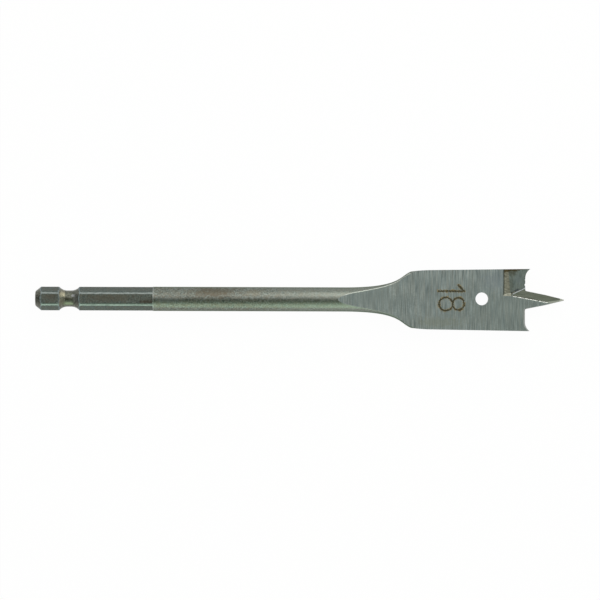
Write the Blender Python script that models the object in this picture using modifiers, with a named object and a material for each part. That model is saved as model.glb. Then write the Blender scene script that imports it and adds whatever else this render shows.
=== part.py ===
"""Spade drill bit: a flat-bladed wood bit with a hex shank, forged and ground from one bar.

The bit is modelled in the frame of the empty bit_axis: X runs along its axis from the shank's
end face to the point, Z is square to the blade's ground faces, and Y runs across the blade.
It is the same after half a turn about X, so most cutters have an opposite that is turned so.
Only the underside of the shaft differs: it has a narrow flat, on which the empty lays the bit
down on the plane Z = 0.
All sizes are in metres.
"""

import math

import bmesh
import bpy
from mathutils import Vector
from mathutils.geometry import interpolate_bezier

# Whole bit
TOTAL_LENGTH = 0.153
POINT_LENGTH = 0.01125
CUT_DIAMETER = 0.018

# Hex shank
SHANK_LENGTH = 0.034
ACROSS_FLATS = 0.00635
SHANK_DIAMETER = 0.00685
END_FACE_DIAMETER = 0.0042
END_CHAMFER_LENGTH = 0.00168
END_ROUNDING = 0.0005

# Power groove
GROOVE_START = 0.0069
GROOVE_WIDTH = 0.00586
NECK_DIAMETER = 0.0047
GROOVE_RADIUS = 0.0032

# Round shaft and forged flare
SHAFT_DIAMETER = 0.00701
SHAFT_FLAT_DEPTH = 0.00009
FLARE_START = 0.0893
FLARE_START_PULL = 0.0166
FLARE_END = 0.1088
FLARE_END_WIDTH = 0.01642
FLARE_END_PULL = 0.0039
FLARE_END_ANGLE = math.radians(22)
FORGED_SPREAD = 0.0012

# Ground faces and sides of the blade
BLADE_THICKNESS = 0.0024
FACE_START = 0.0876
FACE_SLOPE = math.radians(7.1)
FACE_BLEND_RADIUS = 0.03
SIDE_TAPER = math.radians(0.83)
LEAD_IN_LENGTH = 0.0055
LEAD_IN_RADIUS = 0.046

# Hole through the blade
HOLE_DIAMETER = 0.0037
HOLE_TO_LIP = 0.01255
HOLE_OFFSET = 0.0003

# Lips, spurs and point
RELIEF_ANGLE = math.radians(15)
SPUR_HEIGHT = 0.0013
SPUR_ANGLE = math.radians(43)
SPUR_FILLET = 0.0031
POINT_HALF_ANGLE = math.radians(11.3)
POINT_BASE_WIDTH = 0.00528
POINT_FILLET = 0.00045
NOSE_LENGTH = 0.0055
TIP_WIDTH = 0.0003
TIP_THICKNESS = 0.0002
TIP_CHISEL_ANGLE = math.radians(31)

# Pocket ground behind each lip, seen along Y
POCKET_LENGTH = 0.00635
POCKET_WALL_DEPTH = 0.00062
POCKET_WALL_ANGLE = math.radians(62)
POCKET_HOLLOW_RADIUS = 0.014
POCKET_HOLLOW_ANGLE = math.radians(22)
POCKET_VALLEY_AT_AXIS = 0.0023
POCKET_VALLEY_AT_SIDE = 0.0014
HOOK_ANGLE = math.radians(6)

# Inner wall of the pocket, seen along Z: its distance from the bit's axis, top and foot
POCKET_FOOT_DEPTH = 0.0011
POCKET_START_TOP = 0.00125
POCKET_START_FOOT = 0.0023
POCKET_CORNER = 0.0023
POCKET_CORNER_TOP = 0.0011
POCKET_CORNER_FOOT = 0.00195
POCKET_NOSE = 0.0026
POCKET_NOSE_TOP = 0.0016
POCKET_NOSE_FOOT = 0.0023
POCKET_ROOT_TOP = 0.0032
POCKET_ROOT_FOOT = 0.0036

# Bevel ground along one side of the point
BEVEL_ANGLE = math.radians(13)
BEVEL_SKEW = math.radians(10.4)
BEVEL_WIDTH = 0.00285

# Facets
ROUND_SEGMENTS = 48
FLARE_RINGS = 16
ARC_STEPS = 6

# How far a cutter reaches past what it cuts, in the open and over a sloping edge
CLEAR = 0.003
SKIM = 0.0002

SHAFT_RADIUS = SHAFT_DIAMETER / 2
FLAT_Z = SHAFT_FLAT_DEPTH - SHAFT_RADIUS
HALF_THICKNESS = BLADE_THICKNESS / 2
CUT_RADIUS = CUT_DIAMETER / 2
LIP_X = TOTAL_LENGTH - POINT_LENGTH
POCKET_X = LIP_X - POCKET_LENGTH
LEAD_IN_END = FLARE_END + LEAD_IN_LENGTH
PAST_TIP = TOTAL_LENGTH + CLEAR
PAST_SIDE = CUT_RADIUS + CLEAR
PAST_FACE = SHAFT_RADIUS + CLEAR
DOWN = -math.pi / 2


def remove_scene_objects():
    for obj in list(bpy.data.objects):
        bpy.data.objects.remove(obj, do_unlink=True)


def new_collection(name):
    collection = bpy.data.collections.new(name)
    bpy.context.scene.collection.children.link(collection)
    return collection


def tool_steel():
    material = bpy.data.materials.new("tool_steel")
    material.use_nodes = True
    shader = material.node_tree.nodes["Principled BSDF"]
    shader.inputs["Base Color"].default_value = (0.19, 0.21, 0.20, 1)
    shader.inputs["Metallic"].default_value = 1.0
    shader.inputs["Roughness"].default_value = 0.4
    return material


def arc(centre, radius, first_angle, last_angle):
    """Points along an arc in a plane, from one angle to another."""
    turn = (last_angle - first_angle) / ARC_STEPS
    angles = [first_angle + turn * i for i in range(ARC_STEPS + 1)]
    return [(centre[0] + radius * math.cos(a), centre[1] + radius * math.sin(a)) for a in angles]


def finished_mesh(name, shape):
    bmesh.ops.recalc_face_normals(shape, faces=shape.faces)
    mesh = bpy.data.meshes.new(name)
    shape.to_mesh(mesh)
    shape.free()
    return mesh


def prism(name, outline, depth):
    """A closed outline of 3D points, filled and then extruded by the vector depth."""
    shape = bmesh.new()
    face = shape.faces.new([shape.verts.new(point) for point in outline])
    grown = bmesh.ops.extrude_face_region(shape, geom=[face])["geom"]
    moved = [item for item in grown if isinstance(item, bmesh.types.BMVert)]
    bmesh.ops.translate(shape, verts=moved, vec=depth)
    return finished_mesh(name, shape)


def loft(name, sections):
    """A skin through closed sections with the same number of points, and a cap on each end."""
    shape = bmesh.new()
    rings = [[shape.verts.new(point) for point in section] for section in sections]
    for ring, following in zip(rings, rings[1:]):
        for i in range(len(ring)):
            shape.faces.new((ring[i - 1], ring[i], following[i], following[i - 1]))
    shape.faces.new(rings[0])
    shape.faces.new(rings[-1])
    return finished_mesh(name, shape)


def cylinder(name, radius, length, segments):
    """A cylinder or a prism along Z, from Z = 0 down."""
    shape = bmesh.new()
    bmesh.ops.create_cone(
        shape, cap_ends=True, segments=segments, radius1=radius, radius2=radius, depth=length
    )
    bmesh.ops.translate(shape, verts=shape.verts, vec=(0, 0, -length / 2))
    return finished_mesh(name, shape)


def turned_outline(name, outline):
    """A closed outline of (x, radius), for a Screw modifier to turn about X."""
    mesh = bpy.data.meshes.new(name)
    edges = [(i, (i + 1) % len(outline)) for i in range(len(outline))]
    mesh.from_pydata([(x, radius, 0) for x, radius in outline], edges, [])
    return mesh


def forged_profile():
    """(x, half width) of the bar after forging: round shaft, flare, and the spread blade."""
    start = Vector((FLARE_START, SHAFT_RADIUS, 0))
    start_handle = start + Vector((FLARE_START_PULL, 0, 0))
    end = Vector((FLARE_END, FLARE_END_WIDTH / 2, 0))
    rise = Vector((math.cos(FLARE_END_ANGLE), math.sin(FLARE_END_ANGLE), 0))
    end_handle = end - FLARE_END_PULL * rise
    flare = interpolate_bezier(start, start_handle, end_handle, end, FLARE_RINGS)
    widest = CUT_RADIUS + FORGED_SPREAD
    spread = end + rise * (widest - end.y) / rise.y
    return [
        (0, SHAFT_RADIUS),
        *[(point.x, point.y) for point in flare],
        (spread.x, widest),
        (TOTAL_LENGTH, widest),
    ]


def forged_bar_mesh():
    """The bar stays as high as the shaft is round, and its width follows the forged profile."""
    angles = [2 * math.pi * (i + 0.5) / ROUND_SEGMENTS for i in range(ROUND_SEGMENTS)]
    sections = [
        [(x, width * math.sin(a), SHAFT_RADIUS * math.cos(a)) for a in angles]
        for x, width in forged_profile()
    ]
    mesh = loft("forged_bar", sections)
    mesh.shade_smooth()
    mesh.set_sharp_from_angle(angle=math.radians(40))
    return mesh


def lathe_outline():
    """What is turned off the shank: the end chamfer, the power groove and the hex's corners."""
    shank_radius = SHANK_DIAMETER / 2
    face_radius = END_FACE_DIAMETER / 2
    corner = math.pi / 2 - math.atan2(shank_radius - face_radius, END_CHAMFER_LENGTH)
    round_r = face_radius - END_ROUNDING * math.tan(corner / 2)
    rounding = arc((END_ROUNDING, round_r), END_ROUNDING, math.pi, math.pi - corner)
    drop = (SHANK_DIAMETER - NECK_DIAMETER) / 2
    sweep = math.acos(1 - drop / GROOVE_RADIUS)
    run = GROOVE_RADIUS * math.sin(sweep)
    centre_r = NECK_DIAMETER / 2 + GROOVE_RADIUS
    groove_end = GROOVE_START + GROOVE_WIDTH
    near = arc((GROOVE_START + run, centre_r), GROOVE_RADIUS, DOWN - sweep, DOWN)
    far = arc((groove_end - run, centre_r), GROOVE_RADIUS, DOWN, DOWN + sweep)
    return [
        (-CLEAR, round_r),
        *rounding,
        (END_CHAMFER_LENGTH, shank_radius),
        *near,
        *far,
        (SHANK_LENGTH, shank_radius),
        (SHANK_LENGTH, PAST_FACE),
        (-CLEAR, PAST_FACE),
    ]


def tip_chisel_mesh():
    """What is ground off one face at the tip, to bring the point's thickness down to an edge."""
    slope = math.tan(TIP_CHISEL_ANGLE)
    half_tip = TIP_THICKNESS / 2
    outline = [
        (TOTAL_LENGTH - (PAST_FACE - half_tip) / slope, PAST_FACE),
        (PAST_TIP, half_tip - CLEAR * slope),
        (PAST_TIP, PAST_FACE),
    ]
    return prism("tip_chisel", [(x, -CUT_RADIUS, z) for x, z in outline], (0, CUT_DIAMETER, 0))


def ground_face_mesh():
    """What is ground off one face: a long ramp down from the round shaft, blended into the flat."""
    slope = math.tan(FACE_SLOPE)
    start = (FACE_START - CLEAR, SHAFT_RADIUS + CLEAR * slope)
    ramp_foot = FACE_START + (SHAFT_RADIUS - HALF_THICKNESS) / slope
    blend_x = ramp_foot + FACE_BLEND_RADIUS * math.tan(FACE_SLOPE / 2)
    centre = (blend_x, HALF_THICKNESS + FACE_BLEND_RADIUS)
    blend = arc(centre, FACE_BLEND_RADIUS, DOWN - FACE_SLOPE, DOWN)
    outline = [
        start,
        *blend,
        (PAST_TIP, HALF_THICKNESS),
        (PAST_TIP, PAST_FACE),
        (start[0], PAST_FACE),
    ]
    return prism("ground_face", [(x, -PAST_SIDE, z) for x, z in outline], (0, 2 * PAST_SIDE, 0))


def shaft_flat_mesh():
    """What the narrow flat takes off the underside of the round shaft."""
    outline = [(-CLEAR, FLAT_Z), (PAST_TIP, FLAT_Z), (PAST_TIP, -PAST_FACE), (-CLEAR, -PAST_FACE)]
    return prism("shaft_flat", [(x, -PAST_SIDE, z) for x, z in outline], (0, 2 * PAST_SIDE, 0))


def side_half_width(x):
    """Half the width of the blade where its sides are ground straight."""
    return CUT_RADIUS - (LIP_X + SPUR_HEIGHT - x) * math.tan(SIDE_TAPER)


def ground_side_mesh():
    """What is ground off one side of the blade: a long lead-in arc, then the straight taper."""
    centre = (
        LEAD_IN_END + LEAD_IN_RADIUS * math.sin(SIDE_TAPER),
        side_half_width(LEAD_IN_END) - LEAD_IN_RADIUS * math.cos(SIDE_TAPER),
    )
    last = math.pi / 2 + SIDE_TAPER
    first = last + (LEAD_IN_LENGTH + CLEAR) / LEAD_IN_RADIUS
    lead_in = arc(centre, LEAD_IN_RADIUS, first, last)
    outline = [
        *lead_in,
        (PAST_TIP, side_half_width(PAST_TIP)),
        (PAST_TIP, PAST_SIDE),
        (lead_in[0][0], PAST_SIDE),
    ]
    return prism("ground_side", [(x, y, PAST_FACE) for x, y in outline], (0, 0, -2 * PAST_FACE))


def end_outline():
    """(x, y) of what is cut off beyond one lip: spur ramp, lip, root fillet, side of the point."""
    ramp_turn = math.pi / 2 - SPUR_ANGLE
    ramp_y = CUT_RADIUS - SPUR_HEIGHT * math.tan(SPUR_ANGLE)
    spur_y = ramp_y - SPUR_FILLET * math.tan(ramp_turn / 2)
    spur = arc((LIP_X + SPUR_FILLET, spur_y), SPUR_FILLET, math.pi - ramp_turn, math.pi)
    point_turn = math.pi / 2 - POINT_HALF_ANGLE
    root_y = POINT_BASE_WIDTH / 2 + POINT_FILLET * math.tan(point_turn / 2)
    root = arc((LIP_X + POINT_FILLET, root_y), POINT_FILLET, math.pi, math.pi + point_turn)
    nose_x = TOTAL_LENGTH - NOSE_LENGTH
    nose_y = POINT_BASE_WIDTH / 2 - (nose_x - LIP_X) * math.tan(POINT_HALF_ANGLE)
    past_x = PAST_TIP + CLEAR
    past_y = nose_y + (past_x - nose_x) * (TIP_WIDTH / 2 - nose_y) / NOSE_LENGTH
    return [
        (LIP_X + (PAST_SIDE - ramp_y) / math.tan(SPUR_ANGLE), PAST_SIDE),
        *spur,
        *root,
        (nose_x, nose_y),
        (past_x, past_y),
        (past_x, PAST_SIDE),
    ]


def end_mesh():
    """The end outline cuts through the blade on a slant, which relieves the lip and the point."""
    lead = (PAST_FACE - HALF_THICKNESS + lip_depth()) * math.tan(RELIEF_ANGLE)
    slant = (-2 * PAST_FACE * math.tan(RELIEF_ANGLE), 0, -2 * PAST_FACE)
    return prism("lip_and_spur", [(x + lead, y, PAST_FACE) for x, y in end_outline()], slant)


def pocket_section(y):
    """(x, z) of the pocket at one y: steep wall, hollow down to a valley, hooked floor."""
    valley = POCKET_VALLEY_AT_AXIS
    valley += (POCKET_VALLEY_AT_SIDE - POCKET_VALLEY_AT_AXIS) * y / CUT_RADIUS
    foot = POCKET_WALL_DEPTH / math.tan(POCKET_WALL_ANGLE)
    centre = (
        POCKET_X + foot + POCKET_HOLLOW_RADIUS * math.sin(POCKET_HOLLOW_ANGLE),
        HALF_THICKNESS - POCKET_WALL_DEPTH + POCKET_HOLLOW_RADIUS * math.cos(POCKET_HOLLOW_ANGLE),
    )
    last = math.asin(math.sin(POCKET_HOLLOW_ANGLE) - (valley - foot) / POCKET_HOLLOW_RADIUS)
    hollow = arc(centre, POCKET_HOLLOW_RADIUS, DOWN - POCKET_HOLLOW_ANGLE, DOWN - last)
    top = HALF_THICKNESS + CLEAR
    floor_end = hollow[-1][1] + (PAST_TIP - hollow[-1][0]) * math.tan(HOOK_ANGLE)
    return [
        (POCKET_X - CLEAR / math.tan(POCKET_WALL_ANGLE), top),
        *hollow,
        (PAST_TIP, floor_end),
        (PAST_TIP, top),
    ]


def lip_depth():
    """How far the middle of the cutting lip lies below the ground face."""
    section = pocket_section(CUT_RADIUS / 2)
    floor_end = section[-2][1]
    return HALF_THICKNESS - floor_end + (PAST_TIP - LIP_X) * math.tan(HOOK_ANGLE)


def pocket_mesh():
    ends = (0, PAST_SIDE)
    return loft("pocket", [[(x, y, z) for x, z in pocket_section(y)] for y in ends])


def pocket_reach_mesh():
    """The pocket seen along Z: a drafted inner wall, past its corner, its nose and its root."""
    corner_x = POCKET_X + POCKET_CORNER
    nose_x = POCKET_X + POCKET_NOSE
    sections = []
    for depth in (-SKIM, POCKET_FOOT_DEPTH + SKIM):
        share = depth / POCKET_FOOT_DEPTH
        start_y = POCKET_START_TOP + (POCKET_START_FOOT - POCKET_START_TOP) * share
        corner_y = POCKET_CORNER_TOP + (POCKET_CORNER_FOOT - POCKET_CORNER_TOP) * share
        nose_y = POCKET_NOSE_TOP + (POCKET_NOSE_FOOT - POCKET_NOSE_TOP) * share
        root_y = POCKET_ROOT_TOP + (POCKET_ROOT_FOOT - POCKET_ROOT_TOP) * share
        rise = (root_y - nose_y) / (LIP_X - nose_x)
        outline = [
            (POCKET_X - SKIM, start_y),
            (corner_x, corner_y),
            (nose_x, nose_y),
            (PAST_TIP, nose_y + rise * (PAST_TIP - nose_x)),
            (PAST_TIP, PAST_SIDE),
            (POCKET_X - SKIM, PAST_SIDE),
        ]
        sections.append([(x, y, HALF_THICKNESS - depth) for x, y in outline])
    return loft("pocket_reach", sections)


def bevel_mesh():
    """A block whose lower face is the bevel, with one long edge on X."""
    length = PAST_TIP - POCKET_X
    outline = [(0, 0, 0), (length, 0, 0), (length, BEVEL_WIDTH, 0), (0, BEVEL_WIDTH, 0)]
    return prism("point_bevel", outline, (0, 0, CLEAR))


class Workpiece:
    """The bar on the bit's axis, and the cutters that take material off it."""

    def __init__(self):
        parts = new_collection("spade_drill_bit")
        self.cutters = new_collection("spade_drill_bit_cutters")
        self.axis = bpy.data.objects.new("bit_axis", None)
        parts.objects.link(self.axis)
        self.bar = bpy.data.objects.new("spade_bit", forged_bar_mesh())
        self.bar.data.materials.append(tool_steel())
        self.bar.parent = self.axis
        parts.objects.link(self.bar)

    def cutter(self, mesh, location=(0, 0, 0), rotation=(0, 0, 0)):
        cutter = bpy.data.objects.new(mesh.name, mesh)
        cutter.parent = self.axis
        cutter.location = location
        cutter.rotation_euler = rotation
        cutter.hide_render = True
        cutter.display_type = "WIRE"
        self.cutters.objects.link(cutter)
        return cutter

    def turned_cutter(self, mesh):
        cutter = self.cutter(mesh)
        screw = cutter.modifiers.new("turned", "SCREW")
        screw.axis = "X"
        screw.steps = ROUND_SEGMENTS
        screw.render_steps = ROUND_SEGMENTS
        return cutter

    def opposite(self, cutter):
        """A copy of the cutter and of what shapes it, turned half round about the bit's axis."""
        copy = cutter.copy()
        copy.name = cutter.name + "_opposite"
        copy.parent = self.half_turn()
        self.cutters.objects.link(copy)
        for modifier in copy.modifiers:
            modifier.object = self.opposite(modifier.object)
        return copy

    def half_turn(self):
        name = "half_turn"
        if name not in self.cutters.objects:
            empty = bpy.data.objects.new(name, None)
            empty.parent = self.axis
            empty.rotation_euler.x = math.pi
            self.cutters.objects.link(empty)
        return self.cutters.objects[name]

    def cut(self, cutter):
        boolean(self.bar, "DIFFERENCE", cutter)

    def cut_both_sides(self, cutter):
        self.cut(cutter)
        self.cut(self.opposite(cutter))


def boolean(obj, operation, other):
    modifier = obj.modifiers.new(other.name, "BOOLEAN")
    modifier.operation = operation
    modifier.solver = "EXACT"
    modifier.object = other


def make_shank(work):
    """Six flats, milled as a sleeve with a hexagonal hole, and what is turned."""
    along_x = (0, -math.pi / 2, 0)
    length = SHANK_LENGTH + CLEAR
    sleeve = work.cutter(cylinder("flats", PAST_FACE, length, ROUND_SEGMENTS), rotation=along_x)
    corner_radius = ACROSS_FLATS / math.sqrt(3)
    core = work.cutter(cylinder("hex_core", corner_radius, length + 2 * CLEAR, 6), rotation=along_x)
    sleeve.location.x = SHANK_LENGTH - length
    core.location.x = SHANK_LENGTH - length - CLEAR
    boolean(sleeve, "DIFFERENCE", core)
    work.cut(sleeve)
    work.cut(work.turned_cutter(turned_outline("lathe", lathe_outline())))


def make_blade(work):
    work.cut(work.cutter(shaft_flat_mesh()))
    work.cut_both_sides(work.cutter(ground_face_mesh()))
    work.cut_both_sides(work.cutter(ground_side_mesh()))
    hole = cylinder("hole", HOLE_DIAMETER / 2, 2 * PAST_FACE, ROUND_SEGMENTS)
    work.cut(work.cutter(hole, location=(LIP_X - HOLE_TO_LIP, HOLE_OFFSET, PAST_FACE)))


def make_cutting_end(work):
    work.cut_both_sides(work.cutter(end_mesh()))
    pocket = work.cutter(pocket_mesh())
    boolean(pocket, "INTERSECT", work.cutter(pocket_reach_mesh()))
    work.cut_both_sides(pocket)
    bevel_start = (POCKET_X + POCKET_NOSE, POCKET_CORNER_TOP, HALF_THICKNESS)
    bevel = work.cutter(bevel_mesh(), bevel_start, (-BEVEL_ANGLE, 0, -BEVEL_SKEW))
    work.cut_both_sides(bevel)
    work.cut_both_sides(work.cutter(tip_chisel_mesh()))


def lay_down(axis):
    """The narrow flat along the shaft lies on the plane Z = 0, which leaves the blade level."""
    axis.location = (-TOTAL_LENGTH / 2, 0, -FLAT_Z)


def main():
    remove_scene_objects()
    work = Workpiece()
    make_shank(work)
    make_blade(work)
    make_cutting_end(work)
    lay_down(work.axis)


main()
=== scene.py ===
"""Spade drill bit, dressed: the same forging, turning and grinding as the solid, at full detail.

The bit is cut in its own frame, where X runs along its axis from the shank's end face, Z is
square to the blade's ground faces and Y runs across the blade. Each cutter leaves its own finish
on what it cuts. All sizes are in metres.
"""

import math
import random

import bmesh
import bpy
from mathutils import Matrix, Vector
from mathutils.geometry import interpolate_bezier


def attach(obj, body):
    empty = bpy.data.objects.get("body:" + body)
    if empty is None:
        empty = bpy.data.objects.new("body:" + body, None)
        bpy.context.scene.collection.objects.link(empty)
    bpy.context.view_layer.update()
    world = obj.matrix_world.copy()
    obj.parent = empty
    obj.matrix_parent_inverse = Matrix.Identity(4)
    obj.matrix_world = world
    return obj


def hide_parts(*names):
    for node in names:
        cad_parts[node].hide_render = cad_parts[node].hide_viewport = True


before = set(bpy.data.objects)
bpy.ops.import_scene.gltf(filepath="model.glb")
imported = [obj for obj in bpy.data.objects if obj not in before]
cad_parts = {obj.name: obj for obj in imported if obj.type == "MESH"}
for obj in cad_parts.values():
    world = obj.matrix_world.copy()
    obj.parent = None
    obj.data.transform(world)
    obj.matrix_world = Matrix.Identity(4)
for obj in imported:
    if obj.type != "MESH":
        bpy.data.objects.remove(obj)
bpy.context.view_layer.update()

# Whole bit
TOTAL_LENGTH = 0.153
POINT_LENGTH = 0.01125
CUT_DIAMETER = 0.018

# Hex shank
SHANK_LENGTH = 0.034
ACROSS_FLATS = 0.00635
SHANK_DIAMETER = 0.00685
END_FACE_DIAMETER = 0.0042
END_CHAMFER_LENGTH = 0.00168
END_ROUNDING = 0.0005

# Power groove
GROOVE_START = 0.0069
GROOVE_WIDTH = 0.00586
NECK_DIAMETER = 0.0047
GROOVE_RADIUS = 0.0032

# Round shaft and forged flare
SHAFT_DIAMETER = 0.00701
SHAFT_FLAT_DEPTH = 0.00009
FLARE_START = 0.0893
FLARE_START_PULL = 0.0166
FLARE_END = 0.1088
FLARE_END_WIDTH = 0.01642
FLARE_END_PULL = 0.0039
FLARE_END_ANGLE = math.radians(22)
FORGED_SPREAD = 0.0012

# Ground faces and sides of the blade
BLADE_THICKNESS = 0.0024
FACE_START = 0.0876
FACE_SLOPE = math.radians(7.1)
FACE_BLEND_RADIUS = 0.03
SIDE_TAPER = math.radians(0.83)
LEAD_IN_LENGTH = 0.0055
LEAD_IN_RADIUS = 0.046

# Hole through the blade
HOLE_DIAMETER = 0.0037
HOLE_TO_LIP = 0.01255
HOLE_OFFSET = 0.0003

# Lips, spurs and point
RELIEF_ANGLE = math.radians(15)
SPUR_HEIGHT = 0.0013
SPUR_ANGLE = math.radians(43)
SPUR_FILLET = 0.0031
POINT_HALF_ANGLE = math.radians(11.3)
POINT_BASE_WIDTH = 0.00528
POINT_FILLET = 0.00045
NOSE_LENGTH = 0.0055
TIP_WIDTH = 0.0003
TIP_THICKNESS = 0.0002
TIP_CHISEL_ANGLE = math.radians(31)

# Pocket ground behind each lip, seen along Y
POCKET_LENGTH = 0.00635
POCKET_WALL_DEPTH = 0.00062
POCKET_WALL_ANGLE = math.radians(62)
POCKET_HOLLOW_RADIUS = 0.014
POCKET_HOLLOW_ANGLE = math.radians(22)
POCKET_VALLEY_AT_AXIS = 0.0023
POCKET_VALLEY_AT_SIDE = 0.0014
HOOK_ANGLE = math.radians(6)

# Inner wall of the pocket, seen along Z: its distance from the bit's axis, top and foot
POCKET_FOOT_DEPTH = 0.0011
POCKET_START_TOP = 0.00125
POCKET_START_FOOT = 0.0023
POCKET_CORNER = 0.0023
POCKET_CORNER_TOP = 0.0011
POCKET_CORNER_FOOT = 0.00195
POCKET_NOSE = 0.0026
POCKET_NOSE_TOP = 0.0016
POCKET_NOSE_FOOT = 0.0023
POCKET_ROOT_TOP = 0.0032
POCKET_ROOT_FOOT = 0.0036

# Bevel ground along one side of the point
BEVEL_ANGLE = math.radians(13)
BEVEL_SKEW = math.radians(10.4)
BEVEL_WIDTH = 0.00285

# Raised lines: the burr along the bevel's lower edge, the bright ridge between the bevel and the
# pocket, and the edges of the ground face along the flare: painted highlight at +Y, painted shade
# at -Y
BURR_LENGTH = 0.0104
BURR_WIDTH = 0.00025
BURR_RUGGEDNESS = 0.45
RIDGE_WIDTH = 0.00026
RIDGE_RUGGEDNESS = 0.08
EDGE_WIDTH = 0.0003
LOW_EDGE_WIDTH = 0.00018

# The size of a raised line from step to step, in shares of its width: a mean of random draws
BURR_SEED = 18
BURR_RUN = 4
BURR_MEAN = 0.8
BURR_LEAST = 0.1
BURR_HIGHEST = 1.3
BURR_SWAY = 0.15
BURR_STEEPNESS = 0.22

# Small chips along one lip: distance from the axis, width and depth. Below, the outline of a
# chip in shares of its width and its depth.
LIP_CHIPS = ((0.0044, 0.0008, 0.0002), (0.0058, 0.0006, 0.00008), (0.0067, 0.0008, 0.00018))
CHIP_OUTLINE = ((0.5, 0), (0.12, 1), (-0.2, 0.7), (-0.5, 0))

# Ground steel: fine streaks, broader tinted bands, dark clouds, and its roughness
STREAK_GRAIN = 0.00019
BAND_GRAIN = 0.0005
BAND_STRETCH = 1.6
BAND_AMOUNT = 0.3
CLOUD_GRAIN = 0.0045
CLOUD_AMOUNT = 0.25
BRUSHING = 0.45
GROUND_SHINE = (0.36, 0.5)

# Forged and turned steel: flecks, warm specks, rings round the axis, and their roughness
FLECK_GRAIN = 0.00042
SPECK_GRAIN = (0.0009, 0.0007, 0.0007)
SPECK_AMOUNT = 0.6
FORGED_SHINE = (0.28, 0.36)
HEX_SHINE = (0.45, 0.6)
RING_GRAIN = (0.00012, 0.02, 0.02)
TURNED_FLECK_GRAIN = 0.0005
TURNED_SHINE = (0.25, 0.4)

# How deep the streaks, the rings and the forged flecks lie
CUT_RELIEF = 0.000004
FORGED_RELIEF = 0.000005

# Painted highlights: bright rims where the end chamfer and the groove cut the hex's faces
RIM_WIDTH = 0.00026
RIM_GRAIN = 0.0006
RIM_HIGHLIGHT_COLOR = (0.2, 0.235, 0.245)

# Painted highlights along the hex's turned corners, a little round from the corners' middles
CORNER_LINE_WIDTH = 0.00034
CORNER_LINE_TURN = math.radians(1.9)
CORNER_LINE_GRAIN = (0.0012, 0.0004, 0.0004)
CORNER_HIGHLIGHT_COLOR = (0.29, 0.32, 0.315)

# Forged skin: a lighter end at the hex, painted light towards the flare, painted shade on its -Y
# flank
FORGED_RIM = (0.36, 0.38, 0.37)
FORGED_RIM_AMOUNT = 0.6
FLARE_PAINTED_LIGHT = (0.245, 0.267, 0.238)
FLARE_LIGHT_RUN = 0.03
FLARE_LIGHT_AMOUNT = 0.45
FLANK_REACH = math.radians(22)
FLANK_FRINGE = 0.006
PAINTED_FLANK_SHADE = (0.125, 0.16, 0.125)
FLANK_AMOUNT = 0.8

# Marks on the sloping faces reach this many times further down than sideways
MARK_DEPTH = 5

# On the bevel: the dark line beside the burr, and the light rim from the burr's end to the tip
BURR_SHADE = (0.06, 0.062, 0.05)
BURR_SHADE_REACH = BURR_WIDTH * 1.1
BURR_SHADE_FRINGE = BURR_WIDTH * 0.8
POINT_RIM_WIDTH = 0.00032
POINT_RIM_COLOR = (0.29, 0.31, 0.27)
POINT_RIM_AMOUNT = 0.7

# In the pocket: painted shade in the nook by the bevel, and the dark wedge along the outer edge
NOOK_STROKE = ((0.1379, 0.00185), (0.1396, 0.00285))
NOOK_WIDTH = 0.0009
NOOK_SHADE_COLOR = (0.06, 0.07, 0.085)
NOOK_SHADE_AMOUNT = 0.75
WEDGE_START = 0.0077
WEDGE_TAPER = 0.17
WEDGE_GRAIN = 0.0008
WEDGE_FRINGE = 0.0004
WEDGE_COLOR = (0.075, 0.062, 0.035)

# How a stain's edge wanders and fades: its grain, and then shares of its reach
STAIN_GRAIN = 0.0006
STAIN_WOBBLE = 0.25
STAIN_EDGE = 0.65
STAIN_FRINGE = 0.9

# Stains: place on the front, reach along X and across, colour, amount
GROOVE_STAINS = (
    ((0.0079, 0.0014), (0.0013, 0.0013), (0.5, 0.45, 0.32), 0.42),
    ((0.0111, 0.0008), (0.0007, 0.0006), (0.45, 0.46, 0.5), 0.7),
    ((0.0118, 0.0002), (0.0012, 0.0016), (0.3, 0.3, 0.28), 0.4),
    ((0.0096, -0.0001), (0.0018, 0.0005), (0.06, 0.05, 0.03), 0.6),
    ((0.0093, -0.0015), (0.0022, 0.0008), (0.22, 0.25, 0.17), 0.6),
    ((0.0078, -0.0008), (0.001, 0.0016), (0.09, 0.088, 0.062), 0.6),
)
HEX_STAINS = (
    ((0.0325, -0.0009), (0.0034, 0.001), (0.06, 0.047, 0.032), 0.7),
    ((0.0215, 0.0002), (0.009, 0.0014), (0.125, 0.11, 0.085), 0.6),
    ((0.0045, 0.0004), (0.0025, 0.0014), (0.12, 0.105, 0.085), 0.6),
)
FORGED_STAINS = (
    ((0.0515, 0.0019), (0.0085, 0.0018), (0.115, 0.095, 0.068), 0.75),
    ((0.0632, 0.0019), (0.003, 0.0012), (0.19, 0.16, 0.11), 0.4),
    ((0.0385, -0.0004), (0.006, 0.001), (0.23, 0.25, 0.25), 0.5),
)
GROUND_STAINS = (
    ((0.138, -0.003), (0.024, 0.012), (0.185, 0.218, 0.207), 0.4),
    ((0.097, 0.0), (0.016, 0.009), (0.175, 0.205, 0.2), 0.5),
    ((0.1335, 0.0055), (0.006, 0.004), (0.23, 0.27, 0.31), 0.4),
    ((0.1165, -0.0065), (0.009, 0.002), (0.24, 0.25, 0.2), 0.4),
)
POCKET_STAINS = (
    ((0.138, 0.0079), (0.0018, 0.0013), (0.085, 0.08, 0.052), 0.65),
    ((0.1378, 0.0045), (0.0008, 0.0028), (0.11, 0.12, 0.095), 0.5),
    ((0.14, 0.0058), (0.0018, 0.0022), (0.2, 0.232, 0.245), 0.5),
)

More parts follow.
